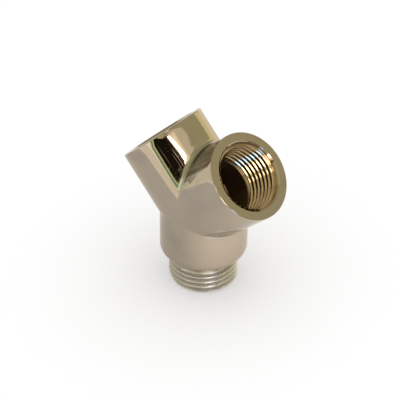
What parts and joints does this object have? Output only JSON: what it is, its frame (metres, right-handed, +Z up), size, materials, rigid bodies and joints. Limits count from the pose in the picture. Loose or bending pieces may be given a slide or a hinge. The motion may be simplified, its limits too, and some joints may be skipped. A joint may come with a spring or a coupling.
{
  "type": "y pipe fitting",
  "caption": "Plated brass Y fitting that splits one pipe into two: internally threaded arms leaning out from a round hub with a short externally threaded stem below.",
  "frame": {"origin": "centre of the stem's end face, which the fitting stands on", "axes": "+Z up along the stem's axis; the arms lie in the XZ plane, leaning 45 degrees towards +X and -X"},
  "size_m": [0.0518, 0.0266, 0.0544],
  "materials": {
    "plated_brass": "polished plating, warm tone"
  },
  "bodies": {
    "root": {"y_body": "plated_brass"}
  },
  "joints": []
}
